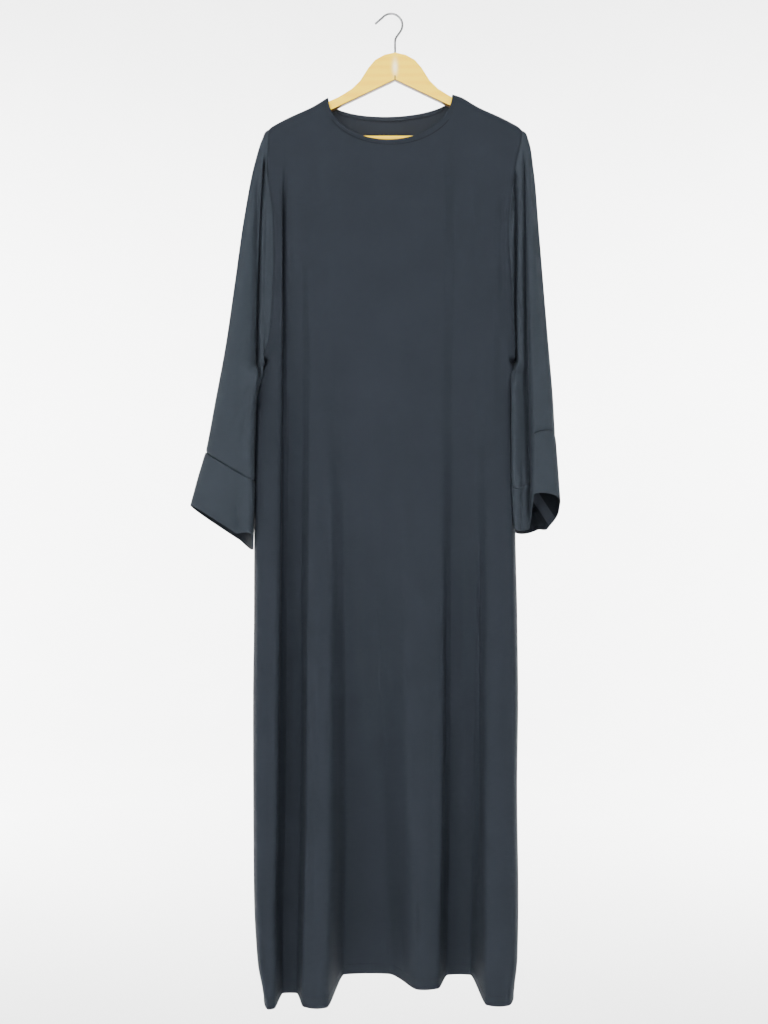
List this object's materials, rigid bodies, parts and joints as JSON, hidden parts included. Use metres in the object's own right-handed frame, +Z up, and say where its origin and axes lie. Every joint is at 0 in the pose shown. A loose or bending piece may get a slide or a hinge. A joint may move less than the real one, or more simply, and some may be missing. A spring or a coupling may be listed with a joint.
{
  "type": "abaya on clothes hanger",
  "caption": "Long plain closed abaya with round neck and wide cuffed sleeves, hanging open and hollow from a wooden hanger with a trouser bar and wire hook.",
  "frame": {"origin": "inside of the hook's crown, where the hanger sits on a rail", "axes": "+Z up; +Y from the garment's front to its back; +X to the right as the front is looked at"},
  "size_m": [0.5875, 0.1355, 1.5657],
  "materials": {
    "crepe": "matte, fine weave",
    "varnished_wood": "gloss varnish",
    "chromed_wire": "polished"
  },
  "bodies": {
    "root": {"front": "crepe", "back": "crepe", "sleeve_left": "crepe", "sleeve_right": "crepe", "cuff_left": "crepe", "cuff_right": "crepe", "neck_facing": "crepe", "hanger": "varnished_wood", "trouser_bar": "varnished_wood", "hook": "chromed_wire"}
  },
  "joints": []
}
